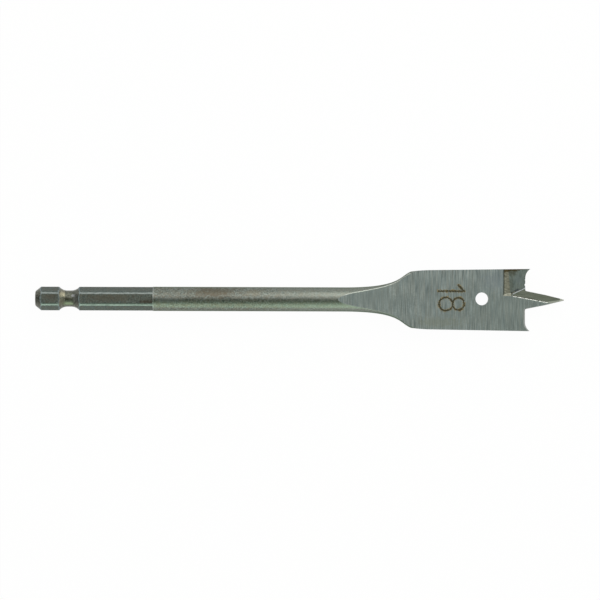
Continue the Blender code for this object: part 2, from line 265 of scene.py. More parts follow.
# The size number, burnt into one face: a dark stroke inside a wider, patchy tan one
BURNT_WIDTH = 0.00048
TAN_WIDTH = 0.00086
BURNT_FRAYING = 0.00014
BURNT_COLOR = (0.075, 0.068, 0.045)
TAN_COLOR = (0.3, 0.235, 0.13)
TAN_GRAIN = 0.00045
ONE_STROKES = (((0.1166, 0.0025), (0.1241, 0.0025)), ((0.1241, 0.0025), (0.1224, 0.00424)))
EIGHT_LOOPS = (((0.11881, -0.00123), (0.002, 0.0019)), ((0.1224, -0.00116), (0.00168, 0.00176)))

# Facets
ROUND_SEGMENTS = 192
FLARE_RINGS = 72
ARC_STEPS = 20
BURR_STEPS = 90
BURR_WELD = 0.0000001
SHARP_ANGLE = math.radians(25)

# How far a cutter reaches past what it cuts, in the open and over a sloping edge
CLEAR = 0.003
SKIM = 0.0002
TINY = 0.000001

SHAFT_RADIUS = SHAFT_DIAMETER / 2
GROOVE_SWEEP = math.acos(1 - (SHANK_DIAMETER - NECK_DIAMETER) / 2 / GROOVE_RADIUS)
FLAT_Z = SHAFT_FLAT_DEPTH - SHAFT_RADIUS
HALF_THICKNESS = BLADE_THICKNESS / 2
CUT_RADIUS = CUT_DIAMETER / 2
LIP_X = TOTAL_LENGTH - POINT_LENGTH
POCKET_X = LIP_X - POCKET_LENGTH
LEAD_IN_END = FLARE_END + LEAD_IN_LENGTH
PAST_TIP = TOTAL_LENGTH + CLEAR
PAST_SIDE = CUT_RADIUS + CLEAR
PAST_FACE = SHAFT_RADIUS + CLEAR
DOWN = -math.pi / 2
LYING = Matrix.Translation((-TOTAL_LENGTH / 2, 0, -FLAT_Z))

# The photograph: its scale, and where the bit's axis lies in it
METRES_PER_PIXEL = 0.00028922
PHOTO_PIXELS = 600
VIEW_CENTRE = (0.00009, -0.0002)
VIEW_TURN = math.radians(0.19)

# The camera, which sees as far as SIGHT
CAMERA_HEIGHT = 1.2
SENSOR_WIDTH = 0.036
SIGHT = 10
MM_PER_METRE = 1000

# The white ground that the bit lies on, and how much of it the camera sees as plain white
FLOOR_SIZE = 6
FLOOR_COLOR = (0.95, 0.95, 0.95, 1)
PLAIN_WHITE = 0.97

# The light tent across the bit: degrees from straight up towards +Y, and the light from there
TENT_ACROSS = (
    (-125, (0.90, 0.97, 0.90)),
    (-103, (1.15, 1.35, 1.17)),
    (-86, (1.50, 1.78, 1.50)),
    (-68, (1.52, 1.82, 1.52)),
    (-54, (1.18, 1.42, 1.15)),
    (-43, (0.72, 0.88, 0.70)),
    (-33, (0.42, 0.52, 0.41)),
    (-20, (0.22, 0.27, 0.22)),
    (-6, (0.24, 0.27, 0.23)),
    (2, (0.50, 0.52, 0.48)),
    (12, (1.02, 1.03, 0.98)),
    (26, (1.28, 1.28, 1.24)),
    (44, (1.20, 1.20, 1.14)),
    (62, (1.10, 1.12, 1.06)),
    (80, (0.92, 0.98, 0.94)),
    (110, (0.86, 0.96, 0.92)),
)
# The light from its two ends, by the x of the direction, and how much of it is seen there
TENT_ENDS = ((-1.0, (0.24, 0.25, 0.26)), (1.0, (1.35, 1.37, 1.25)))
TENT_END_SPREAD = (0.27, 0.48)
TENT_STRENGTH = 2.0


def arc(centre, radius, first_angle, last_angle):
    """Points along an arc in a plane, from one angle to another."""
    turn = (last_angle - first_angle) / ARC_STEPS
    angles = [first_angle + turn * i for i in range(ARC_STEPS + 1)]
    return [(centre[0] + radius * math.cos(a), centre[1] + radius * math.sin(a)) for a in angles]


def finished_mesh(name, shape):
    bmesh.ops.recalc_face_normals(shape, faces=shape.faces)
    mesh = bpy.data.meshes.new(name)
    shape.to_mesh(mesh)
    shape.free()
    return mesh


def prism(name, outline, depth):
    """A closed outline of 3D points, filled and then extruded by the vector depth."""
    shape = bmesh.new()
    face = shape.faces.new([shape.verts.new(point) for point in outline])
    grown = bmesh.ops.extrude_face_region(shape, geom=[face])["geom"]
    moved = [item for item in grown if isinstance(item, bmesh.types.BMVert)]
    bmesh.ops.translate(shape, verts=moved, vec=depth)
    return finished_mesh(name, shape)


def across_blade(name, outline, half_width=PAST_SIDE):
    """A prism across the blade. Its outline is seen along Y, in x and z."""
    return prism(name, [(x, -half_width, z) for x, z in outline], (0, 2 * half_width, 0))


def through_blade(name, outline, slope=0.0):
    """A prism down through the blade, led back by a slope. Its outline is seen along Z."""
    depth = (-2 * PAST_FACE * slope, 0, -2 * PAST_FACE)
    return prism(name, [(x, y, PAST_FACE) for x, y in outline], depth)


def loft(name, sections, closed=False, weld=0.0):
    """A skin through sections with the same number of points, joined in a ring or capped."""
    shape = bmesh.new()
    rings = [[shape.verts.new(point) for point in section] for section in sections]
    pairs = list(zip(rings, rings[1:]))
    if closed:
        pairs.append((rings[-1], rings[0]))
    else:
        shape.faces.new(rings[0])
        shape.faces.new(rings[-1])
    for ring, following in pairs:
        for i in range(len(ring)):
            shape.faces.new((ring[i - 1], ring[i], following[i], following[i - 1]))
    if weld:
        bmesh.ops.remove_doubles(shape, verts=shape.verts, dist=weld)
    return finished_mesh(name, shape)


def cylinder(name, radius, length, segments):
    """A cylinder or a prism along Z, from Z = 0 down."""
    shape = bmesh.new()
    bmesh.ops.create_cone(
        shape, cap_ends=True, segments=segments, radius1=radius, radius2=radius, depth=length
    )
    bmesh.ops.translate(shape, verts=shape.verts, vec=(0, 0, -length / 2))
    return finished_mesh(name, shape)


def turned_mesh(name, outline):
    """A closed outline of (x, radius), turned about X."""
    turns = [2 * math.pi * i / ROUND_SEGMENTS for i in range(ROUND_SEGMENTS)]
    sections = [[(x, r * math.cos(a), r * math.sin(a)) for x, r in outline] for a in turns]
    return loft(name, sections, closed=True)


def forged_profile():
    """(x, half width) of the bar after forging: round shaft, flare, and the spread blade."""
    start = Vector((FLARE_START, SHAFT_RADIUS, 0))
    start_handle = start + Vector((FLARE_START_PULL, 0, 0))
    end = Vector((FLARE_END, FLARE_END_WIDTH / 2, 0))
    rise = Vector((math.cos(FLARE_END_ANGLE), math.sin(FLARE_END_ANGLE), 0))
    end_handle = end - FLARE_END_PULL * rise
    flare = interpolate_bezier(start, start_handle, end_handle, end, FLARE_RINGS)
    widest = CUT_RADIUS + FORGED_SPREAD
    spread = end + rise * (widest - end.y) / rise.y
    return [
        (0, SHAFT_RADIUS),
        *[(point.x, point.y) for point in flare],
        (spread.x, widest),
        (TOTAL_LENGTH, widest),
    ]


def forged_bar_mesh():
    """The bar stays as high as the shaft is round, and its width follows the forged profile."""
    angles = [2 * math.pi * (i + 0.5) / ROUND_SEGMENTS for i in range(ROUND_SEGMENTS)]
    sections = [
        [(x, width * math.sin(a), SHAFT_RADIUS * math.cos(a)) for a in angles]
        for x, width in forged_profile()
    ]
    return loft("forged_bar", sections)


def lathe_mesh():
    """What is turned off the shank: the end chamfer, the power groove and the hex's corners.

    The faces that cut the corners have the mesh's second material.
    """
    shank_radius = SHANK_DIAMETER / 2
    face_radius = END_FACE_DIAMETER / 2
    corner = math.pi / 2 - math.atan2(shank_radius - face_radius, END_CHAMFER_LENGTH)
    round_r = face_radius - END_ROUNDING * math.tan(corner / 2)
    rounding = arc((END_ROUNDING, round_r), END_ROUNDING, math.pi, math.pi - corner)
    run = GROOVE_RADIUS * math.sin(GROOVE_SWEEP)
    centre_r = NECK_DIAMETER / 2 + GROOVE_RADIUS
    groove_end = GROOVE_START + GROOVE_WIDTH
    near = arc((GROOVE_START + run, centre_r), GROOVE_RADIUS, DOWN - GROOVE_SWEEP, DOWN)
    far = arc((groove_end - run, centre_r), GROOVE_RADIUS, DOWN, DOWN + GROOVE_SWEEP)
    outline = [
        (-CLEAR, round_r),
        *rounding,
        (END_CHAMFER_LENGTH, shank_radius),
        *near,
        *far,
        (SHANK_LENGTH, shank_radius),
        (SHANK_LENGTH, PAST_FACE),
        (-CLEAR, PAST_FACE),
    ]
    mesh = turned_mesh("lathe", outline)
    for face in mesh.polygons:
        radii = [mesh.vertices[i].co.yz.length for i in face.vertices]
        face.material_index = int(max(abs(radius - shank_radius) for radius in radii) < TINY)
    return mesh


def tip_chisel_mesh():
    """What is ground off one face at the tip, to bring the point's thickness down to an edge."""
    slope = math.tan(TIP_CHISEL_ANGLE)
    half_tip = TIP_THICKNESS / 2
    outline = [
        (TOTAL_LENGTH - (PAST_FACE - half_tip) / slope, PAST_FACE),
        (PAST_TIP, half_tip - CLEAR * slope),
        (PAST_TIP, PAST_FACE),
    ]
    return across_blade("tip_chisel", outline, CUT_RADIUS)


def ground_face_mesh():
    """What is ground off one face: a long ramp down from the round shaft, blended into the flat."""
    slope = math.tan(FACE_SLOPE)
    start = (FACE_START - CLEAR, SHAFT_RADIUS + CLEAR * slope)
    ramp_foot = FACE_START + (SHAFT_RADIUS - HALF_THICKNESS) / slope
    blend_x = ramp_foot + FACE_BLEND_RADIUS * math.tan(FACE_SLOPE / 2)
    centre = (blend_x, HALF_THICKNESS + FACE_BLEND_RADIUS)
    blend = arc(centre, FACE_BLEND_RADIUS, DOWN - FACE_SLOPE, DOWN)
    outline = [
        start,
        *blend,
        (PAST_TIP, HALF_THICKNESS),
        (PAST_TIP, PAST_FACE),
        (start[0], PAST_FACE),
    ]
    return across_blade("ground_face", outline)


def shaft_flat_mesh():
    """What the narrow flat takes off the underside of the round shaft."""
    outline = [(-CLEAR, FLAT_Z), (PAST_TIP, FLAT_Z), (PAST_TIP, -PAST_FACE), (-CLEAR, -PAST_FACE)]
    return across_blade("shaft_flat", outline)


def side_half_width(x):
    """Half the width of the blade where its sides are ground straight."""
    return CUT_RADIUS - (LIP_X + SPUR_HEIGHT - x) * math.tan(SIDE_TAPER)


def ground_side_mesh():
    """What is ground off one side of the blade: a long lead-in arc, then the straight taper."""
    centre = (
        LEAD_IN_END + LEAD_IN_RADIUS * math.sin(SIDE_TAPER),
        side_half_width(LEAD_IN_END) - LEAD_IN_RADIUS * math.cos(SIDE_TAPER),
    )
    last = math.pi / 2 + SIDE_TAPER
    first = last + (LEAD_IN_LENGTH + CLEAR) / LEAD_IN_RADIUS
    lead_in = arc(centre, LEAD_IN_RADIUS, first, last)
    outline = [
        *lead_in,
        (PAST_TIP, side_half_width(PAST_TIP)),
        (PAST_TIP, PAST_SIDE),
        (lead_in[0][0], PAST_SIDE),
    ]
    return through_blade("ground_side", outline)


def chipped_lip():
    """(x, y) along the lip from the spur inwards, where it has broken away in small chips."""
    points = []
    for y, width, depth in sorted(LIP_CHIPS, reverse=True):
        points += [(LIP_X - depth * down, y + width * out) for out, down in CHIP_OUTLINE]
    return points


def end_outline(lip):
    """(x, y) of what is cut off beyond one lip: spur ramp, lip, root fillet, side of the point."""
    ramp_turn = math.pi / 2 - SPUR_ANGLE
    ramp_y = CUT_RADIUS - SPUR_HEIGHT * math.tan(SPUR_ANGLE)
    spur_y = ramp_y - SPUR_FILLET * math.tan(ramp_turn / 2)
    spur = arc((LIP_X + SPUR_FILLET, spur_y), SPUR_FILLET, math.pi - ramp_turn, math.pi)
    point_turn = math.pi / 2 - POINT_HALF_ANGLE
    root_y = POINT_BASE_WIDTH / 2 + POINT_FILLET * math.tan(point_turn / 2)
    root = arc((LIP_X + POINT_FILLET, root_y), POINT_FILLET, math.pi, math.pi + point_turn)
    nose_x = TOTAL_LENGTH - NOSE_LENGTH
    nose_y = POINT_BASE_WIDTH / 2 - (nose_x - LIP_X) * math.tan(POINT_HALF_ANGLE)
    past_x = PAST_TIP + CLEAR
    past_y = nose_y + (past_x - nose_x) * (TIP_WIDTH / 2 - nose_y) / NOSE_LENGTH
    return [
        (LIP_X + (PAST_SIDE - ramp_y) / math.tan(SPUR_ANGLE), PAST_SIDE),
        *spur,
        *lip,
        *root,
        (nose_x, nose_y),
        (past_x, past_y),
        (past_x, PAST_SIDE),
    ]


def end_mesh(lip=()):
    """The end outline cuts through the blade on a slant, which relieves the lip and the point."""
    slope = math.tan(RELIEF_ANGLE)
    lead = (PAST_FACE - HALF_THICKNESS + lip_depth()) * slope
    return through_blade("lip_and_spur", [(x + lead, y) for x, y in end_outline(lip)], slope)


def pocket_section(y):
    """(x, z) of the pocket at one y: steep wall, hollow down to a valley, hooked floor."""
    valley = POCKET_VALLEY_AT_AXIS
    valley += (POCKET_VALLEY_AT_SIDE - POCKET_VALLEY_AT_AXIS) * y / CUT_RADIUS
    foot = POCKET_WALL_DEPTH / math.tan(POCKET_WALL_ANGLE)
    centre = (
        POCKET_X + foot + POCKET_HOLLOW_RADIUS * math.sin(POCKET_HOLLOW_ANGLE),
        HALF_THICKNESS - POCKET_WALL_DEPTH + POCKET_HOLLOW_RADIUS * math.cos(POCKET_HOLLOW_ANGLE),
    )
    last = math.asin(math.sin(POCKET_HOLLOW_ANGLE) - (valley - foot) / POCKET_HOLLOW_RADIUS)
    hollow = arc(centre, POCKET_HOLLOW_RADIUS, DOWN - POCKET_HOLLOW_ANGLE, DOWN - last)
    top = HALF_THICKNESS + CLEAR
    floor_end = hollow[-1][1] + (PAST_TIP - hollow[-1][0]) * math.tan(HOOK_ANGLE)
    return [
        (POCKET_X - CLEAR / math.tan(POCKET_WALL_ANGLE), top),
        *hollow,
        (PAST_TIP, floor_end),
        (PAST_TIP, top),
    ]


def lip_depth():
    """How far the middle of the cutting lip lies below the ground face."""
    section = pocket_section(CUT_RADIUS / 2)
    floor_end = section[-2][1]
    return HALF_THICKNESS - floor_end + (PAST_TIP - LIP_X) * math.tan(HOOK_ANGLE)


def pocket_mesh():
    """The hollow's faces have the mesh's second material, and the steep wall its third."""
    ends = (0, PAST_SIDE)
    mesh = loft("pocket", [[(x, y, z) for x, z in pocket_section(y)] for y in ends])
    for face in mesh.polygons:
        steep = face.normal.x < -math.sin(POCKET_WALL_ANGLE) / 2
        face.material_index = 2 if steep else int(face.normal.x < -TINY)
    return mesh


def pocket_reach_mesh():
    """The pocket seen along Z: a drafted inner wall, past its corner, its nose and its root."""
    corner_x = POCKET_X + POCKET_CORNER
    nose_x = POCKET_X + POCKET_NOSE
    sections = []
    for depth in (-SKIM, POCKET_FOOT_DEPTH + SKIM):
        share = depth / POCKET_FOOT_DEPTH
        start_y = POCKET_START_TOP + (POCKET_START_FOOT - POCKET_START_TOP) * share
        corner_y = POCKET_CORNER_TOP + (POCKET_CORNER_FOOT - POCKET_CORNER_TOP) * share
        nose_y = POCKET_NOSE_TOP + (POCKET_NOSE_FOOT - POCKET_NOSE_TOP) * share
        root_y = POCKET_ROOT_TOP + (POCKET_ROOT_FOOT - POCKET_ROOT_TOP) * share
        rise = (root_y - nose_y) / (LIP_X - nose_x)
        outline = [
            (POCKET_X - SKIM, start_y),
            (corner_x, corner_y),
            (nose_x, nose_y),
            (PAST_TIP, nose_y + rise * (PAST_TIP - nose_x)),
            (PAST_TIP, PAST_SIDE),
            (POCKET_X - SKIM, PAST_SIDE),
        ]
        sections.append([(x, y, HALF_THICKNESS - depth) for x, y in outline])
    return loft("pocket_reach", sections)


def bevel_mesh():
    """A block whose lower face is the bevel, with one long edge on X."""
    length = PAST_TIP - POCKET_X
    outline = [(0, 0, 0), (length, 0, 0), (length, BEVEL_WIDTH, 0), (0, BEVEL_WIDTH, 0)]
    return prism("point_bevel", outline, (0, 0, CLEAR))


def burr_mesh(path, width, ruggedness):
    """A ridge along a path, broken into short lengths where it is rugged."""
    rng = random.Random(BURR_SEED)
    sections = []
    last = len(path) - 1
    draws = [rng.gauss(BURR_MEAN, ruggedness) for _ in range(len(path) + BURR_RUN)]
    for i, place in enumerate(path):
        along = path[min(i + 1, last)] - path[max(i - 1, 0)]
        across = along.cross(Vector((0, 0, -1))).normalized()
        run = draws[i : i + BURR_RUN]
        size = max(BURR_LEAST, sum(run) / BURR_RUN) if 0 < i < last else 0.0
        middle = place + across * width * (run[0] - run[1]) * BURR_SWAY
        half = across * width * min(size, 1.0) / 2
        rise = Vector((0, 0, width * min(size, BURR_HIGHEST) * BURR_STEEPNESS))
        sections.append([middle - half - rise / 2, middle + rise, middle + half - rise / 2])
    return loft("burr", sections, weld=BURR_WELD)


class Nodes:
    """A tree of shader nodes. An input takes a plain value or another node's output."""

    def __init__(self, tree):
        self.nodes = tree.nodes
        self.links = tree.links

    def feed(self, node, inputs):
        for key, value in inputs.items():
            if isinstance(value, bpy.types.NodeSocket):
                self.links.new(value, node.inputs[key])
            else:
                node.inputs[key].default_value = value

    def add(self, kind, inputs=None, **settings):
        node = self.nodes.new("ShaderNode" + kind)
        for key, value in settings.items():
            setattr(node, key, value)
        self.feed(node, inputs or {})
        return node

    def math(self, operation, first, second=0.0):
        return self.add("Math", {0: first, 1: second}, operation=operation).outputs["Value"]

    def split(self, vector):
        return self.add("SeparateXYZ", {"Vector": vector}).outputs

    def spread(self, value, low, high, to_low=0.0, to_high=1.0, kind="LINEAR"):
        """Takes low to high onto two other values, and holds it between them."""
        limits = {"From Min": low, "From Max": high, "To Min": to_low, "To Max": to_high}
        spread = self.add("MapRange", {"Value": value, **limits}, interpolation_type=kind)
        return spread.outputs["Result"]

    def mix(self, share, first, second):
        """Colour from first to second. Each is a colour or another node's output."""
        mix = self.add("Mix", {"Factor": share}, data_type="RGBA")
        ends = [i for i, socket in enumerate(mix.inputs) if socket.type == "RGBA"]
        for end, color in zip(ends, (first, second)):
            self.feed(mix, {end: (*color, 1) if isinstance(color, tuple) else color})
        return next(socket for socket in mix.outputs if socket.type == "RGBA")

    def tinged(self, color, tone, share, amount):
        """A colour with a tone over it where the share is 1, by no more than the amount."""
        return self.mix(self.math("MULTIPLY", share, amount), color, tone)


class NodeMaterial(Nodes):
    """A Principled material whose nodes read the bit's own place, in metres."""

    def __init__(self, name, metallic=1.0):
        self.material = bpy.data.materials.new(name)
        self.material.use_nodes = True
        super().__init__(self.material.node_tree)
        self.shader = self.nodes["Principled BSDF"]
        self.feed(self.shader, {"Metallic": metallic})
        self.place = self.add("TexCoord").outputs["Object"]

    def measured(self, size, turn=0.0, start=(0, 0, 0)):
        """The place as seen from a start, turned and measured in size."""
        inputs = {"Vector": self.place, "Location": start, "Rotation": (0, 0, turn), "Scale": size}
        return self.add("Mapping", inputs, vector_type="TEXTURE").outputs["Vector"]

    def noise(self, grain, turn=0.0, detail=2.0, low=0.35, high=0.65):
        """Noise from 0 to 1. The grain is the size of one fleck, in metres."""
        size = grain if isinstance(grain, tuple) else (grain, grain, grain)
        inputs = {"Vector": self.measured(size, turn), "Scale": 1.0, "Detail": detail}
        return self.spread(self.add("TexNoise", inputs).outputs["Fac"], low, high)

    def scaled(self, value, low, high):
        return self.spread(value, 0.0, 1.0, low, high)

    def on_front(self, centre, size, turn=0.0):
        """The place as seen from a point of the front face, turned and measured in size."""
        return self.measured(size, turn, LYING @ Vector((*centre, HALF_THICKNESS)))

    def length(self, vector):
        return self.add("VectorMath", {0: vector}, operation="LENGTH").outputs["Value"]

    def stroke_distance(self, start, end, depth=1):
        """The distance from a stroke on the front face, where heights are divided by depth."""
        run = Vector(end) - Vector(start)
        seen = self.on_front(start, (1, 1, depth), math.atan2(run.y, run.x))
        along, across, height = self.split(seen)
        inside = self.math("MINIMUM", self.math("MAXIMUM", along, 0.0), run.length)
        offset = {"X": self.math("SUBTRACT", along, inside), "Y": across, "Z": height}
        return self.length(self.add("CombineXYZ", offset).outputs["Vector"])

    def loop_distance(self, centre, radii):
        """The distance from an oval loop on the front face."""
        share = self.length(self.on_front(centre, (*radii, BLADE_THICKNESS / 4)))
        off_loop = self.math("ABSOLUTE", self.math("SUBTRACT", share, 1.0))
        return self.math("MULTIPLY", off_loop, sum(radii) / 2)

    def stains(self, color, marks):
        """Uneven patches of other colours over a colour, each fading out at its edge."""
        wobble = self.scaled(self.noise(STAIN_GRAIN), -STAIN_WOBBLE, STAIN_WOBBLE)
        for centre, reach, tone, amount in marks:
            share = self.length(self.on_front(centre, (*reach, SHAFT_DIAMETER)))
            patch = self.within(self.math("ADD", share, wobble), STAIN_EDGE, STAIN_FRINGE)
            color = self.tinged(color, tone, patch, amount)
        return color

    def off_axis(self):
        """The place along the bit's axis, how far it is from it, and its angle round it."""
        x, y, z = self.split(self.place)
        along = self.math("SUBTRACT", x, LYING.translation.x)
        height = self.math("SUBTRACT", z, LYING.translation.z)
        across = self.math("MULTIPLY", y, y)
        squares = self.math("ADD", across, self.math("MULTIPLY", height, height))
        return along, self.math("SQRT", squares), self.math("ARCTAN2", y, height)

    def within(self, distance, reach, fringe):
        """1 inside the reach and 0 outside it, with a soft fringe."""
        ends = (reach - fringe / 2, reach + fringe / 2)
        return self.spread(distance, *ends, 1.0, 0.0, "SMOOTHSTEP")

    def finish(self, color, relief, depth, shine, mark):
        """The material, marked, with a relief in its surface that also varies its roughness."""
        bump = self.add("Bump", {"Height": relief, "Distance": depth, "Strength": 1.0})
        inputs = {
            "Base Color": mark(self, color) if mark else color,
            "Roughness": self.scaled(relief, *shine),
            "Normal": bump.outputs["Normal"],
        }
        self.feed(self.shader, inputs)
        return self.material


def ground_steel(name, dark, light, tint, length=0.005, turn=0.0, mark=None):
    """Steel ground in one direction: fine streaks, broader faint tints, and shallow scratches."""
    steel = NodeMaterial(name)
    fine = steel.noise((STREAK_GRAIN, length, length), turn, detail=4.0)
    broad = steel.noise((BAND_GRAIN, length * BAND_STRETCH, length), turn)
    streaks = steel.mix(fine, dark, light)
    tinted = steel.tinged(streaks, tint, broad, BAND_AMOUNT)
    color = steel.tinged(tinted, dark, steel.noise(CLOUD_GRAIN), CLOUD_AMOUNT)
    along = steel.add("CombineXYZ", {"X": math.sin(-turn), "Y": math.cos(turn)}).outputs["Vector"]
    steel.feed(steel.shader, {"Anisotropic": BRUSHING, "Tangent": along})
    return steel.finish(color, fine, CUT_RELIEF, GROUND_SHINE, mark)


def forged_steel(name, dark, light, tint, edge_on, mark, shine=FORGED_SHINE):
    """Rough skin: round flecks, warm specks, and a tint where it is seen edge on."""
    steel = NodeMaterial(name)
    flecks = steel.noise(FLECK_GRAIN)
    specks = steel.noise(SPECK_GRAIN, detail=3.0)
    color = steel.tinged(steel.mix(flecks, dark, light), tint, specks, SPECK_AMOUNT)
    steel.feed(steel.shader, {"Specular Tint": (*edge_on, 1)})
    return steel.finish(color, flecks, FORGED_RELIEF, shine, mark)


def turned_steel(name, dark, light, mark=None):
    """Steel turned in a lathe: fine rings around the axis and scattered flecks."""
    steel = NodeMaterial(name)
    rings = steel.noise(RING_GRAIN, detail=3.0)
    flecks = steel.noise(TURNED_FLECK_GRAIN, detail=3.0)
    color = steel.mix(flecks, steel.mix(rings, dark, light), dark)
    return steel.finish(color, rings, CUT_RELIEF, TURNED_SHINE, mark)


def burnt_number(steel, color):
    """The size number over a stained face: the dark strokes fray into a patchy tan edge."""
    distances = [steel.stroke_distance(*stroke) for stroke in ONE_STROKES]
    distances += [steel.loop_distance(*loop) for loop in EIGHT_LOOPS]
    nearest = distances[0]
    for distance in distances[1:]:
        nearest = steel.math("MINIMUM", nearest, distance)
    fraying = steel.scaled(steel.noise(BURNT_FRAYING * 2), -BURNT_FRAYING, BURNT_FRAYING)
    frayed = steel.math("ADD", nearest, fraying)
    patches = steel.noise(TAN_GRAIN, detail=1.0, low=0.4, high=0.6)
    tan = steel.math("MULTIPLY", steel.within(frayed, TAN_WIDTH / 2, BURNT_FRAYING), patches)
    burnt = steel.within(frayed, BURNT_WIDTH / 2, BURNT_FRAYING)
    stained = steel.stains(color, GROUND_STAINS)
    return steel.mix(burnt, steel.mix(tan, stained, TAN_COLOR), BURNT_COLOR)


def bevel_marks(steel, color):
    """A dark line on the bevel beside the burr, and from there to the tip a light rim."""
    start = Vector((POCKET_X + POCKET_NOSE, POCKET_CORNER_TOP))
    end = start + Vector((math.cos(BEVEL_SKEW), -math.sin(BEVEL_SKEW))) * BURR_LENGTH
    beside = steel.stroke_distance(start, end)
    line = steel.within(beside, BURR_SHADE_REACH, BURR_SHADE_FRINGE)
    shaded = steel.mix(line, color, BURR_SHADE)
    beyond = steel.stroke_distance(end, (TOTAL_LENGTH, -TIP_WIDTH / 2), MARK_DEPTH)
    rim = steel.within(beyond, POINT_RIM_WIDTH, POINT_RIM_WIDTH / 2)
    return steel.tinged(shaded, POINT_RIM_COLOR, rim, POINT_RIM_AMOUNT)


def pocket_marks(steel, color):
    """Stains, painted shade in the nook by the bevel, and a dark wedge along the outer edge."""
    beside = steel.stroke_distance(*NOOK_STROKE, MARK_DEPTH)
    # Painted shade in the nook by the bevel, where the pocket's wall stands
    nook_shade = steel.within(beside, NOOK_WIDTH / 2, NOOK_WIDTH / 2)
    color = steel.tinged(steel.stains(color, POCKET_STAINS), NOOK_SHADE_COLOR, nook_shade, NOOK_SHADE_AMOUNT)
    along, across, _ = steel.split(steel.on_front((POCKET_X, 0), (1, 1, 1)))
    inward = steel.math("MULTIPLY", along, WEDGE_TAPER)
    wobble = steel.scaled(steel.noise(WEDGE_GRAIN), 0, WEDGE_FRINGE)
    off_side = steel.math("SUBTRACT", inward, steel.math("ABSOLUTE", across))
    wedge = steel.within(steel.math("ADD", off_side, wobble), -WEDGE_START, WEDGE_FRINGE)
    return steel.mix(wedge, color, WEDGE_COLOR)


def shank_rim_highlights(steel, color):
    """Painted highlights: bright rims where the end chamfer and the groove cut the hex."""
    along, radius, _ = steel.off_axis()
    below = steel.math("SUBTRACT", SHANK_DIAMETER / 2, radius)
    chamfer_rise = (SHANK_DIAMETER - END_FACE_DIAMETER) / 2 / END_CHAMFER_LENGTH
    groove_rise = math.tan(GROOVE_SWEEP)
    wobble = steel.scaled(steel.noise(RIM_GRAIN), -RIM_WIDTH / 2, RIM_WIDTH / 2)
    for edge, slope in (
        (END_CHAMFER_LENGTH, -chamfer_rise),
        (GROOVE_START, groove_rise),
        (GROOVE_START + GROOVE_WIDTH, -groove_rise),
    ):
        rim = steel.math("ADD", steel.math("DIVIDE", below, slope), edge)
        apart = steel.math("ABSOLUTE", steel.math("SUBTRACT", along, rim))
        on_rim_highlight = steel.within(steel.math("ADD", apart, wobble), RIM_WIDTH, RIM_WIDTH)
        color = steel.mix(on_rim_highlight, color, RIM_HIGHLIGHT_COLOR)
    return color


def hex_marks(steel, color):
    return shank_rim_highlights(steel, steel.stains(color, HEX_STAINS))


def corner_highlights(steel, color):
    """A painted highlight: a thin bright line along each hex corner, broken up along its length."""
    _, _, angle = steel.off_axis()
    turned = steel.math("ADD", angle, math.pi / 6 + CORNER_LINE_TURN)
    apart = steel.math("MULTIPLY", steel.math("PINGPONG", turned, math.pi / 6), SHANK_DIAMETER / 2)
    breaks = steel.noise(CORNER_LINE_GRAIN, detail=3.0)
    wobble = steel.scaled(breaks, -CORNER_LINE_WIDTH / 4, CORNER_LINE_WIDTH / 4)
    line = steel.within(steel.math("ADD", apart, wobble), CORNER_LINE_WIDTH / 2, CORNER_LINE_WIDTH)
    return shank_rim_highlights(steel, steel.mix(line, color, CORNER_HIGHLIGHT_COLOR))


def groove_marks(steel, color):
    return steel.stains(color, GROOVE_STAINS)


def forged_marks(steel, color):
    """Lighter at the hex, stained on the shaft, painted light towards the flare, painted shade at
    -Y.
    """
    along, _, angle = steel.off_axis()
    # A lighter band where the forged skin meets the hex
    end_band = steel.within(along, SHANK_LENGTH + RIM_WIDTH, RIM_WIDTH)
    color = steel.tinged(color, FORGED_RIM, end_band, FORGED_RIM_AMOUNT)
    # Painted light: the skin grows lighter towards the flare and stays so over it
    run = (FLARE_START - FLARE_LIGHT_RUN, FLARE_START)
    painted_light = steel.spread(along, *run, 0.0, FLARE_LIGHT_AMOUNT)
    color = steel.mix(painted_light, steel.stains(color, FORGED_STAINS), FLARE_PAINTED_LIGHT)
    # Painted shade on the flare's flank at -Y
    to_blade = steel.math("SUBTRACT", FLARE_END, along)
    on_flare = steel.within(to_blade, FLARE_END - FACE_START, FLANK_FRINGE)
    off_flank = steel.math("ABSOLUTE", steel.math("ADD", angle, math.pi / 2))
    on_flank = steel.within(off_flank, FLANK_REACH, FLANK_REACH / 2)
    flank_shade = steel.math("MULTIPLY", on_flank, on_flare)
    return steel.tinged(color, PAINTED_FLANK_SHADE, flank_shade, FLANK_AMOUNT)


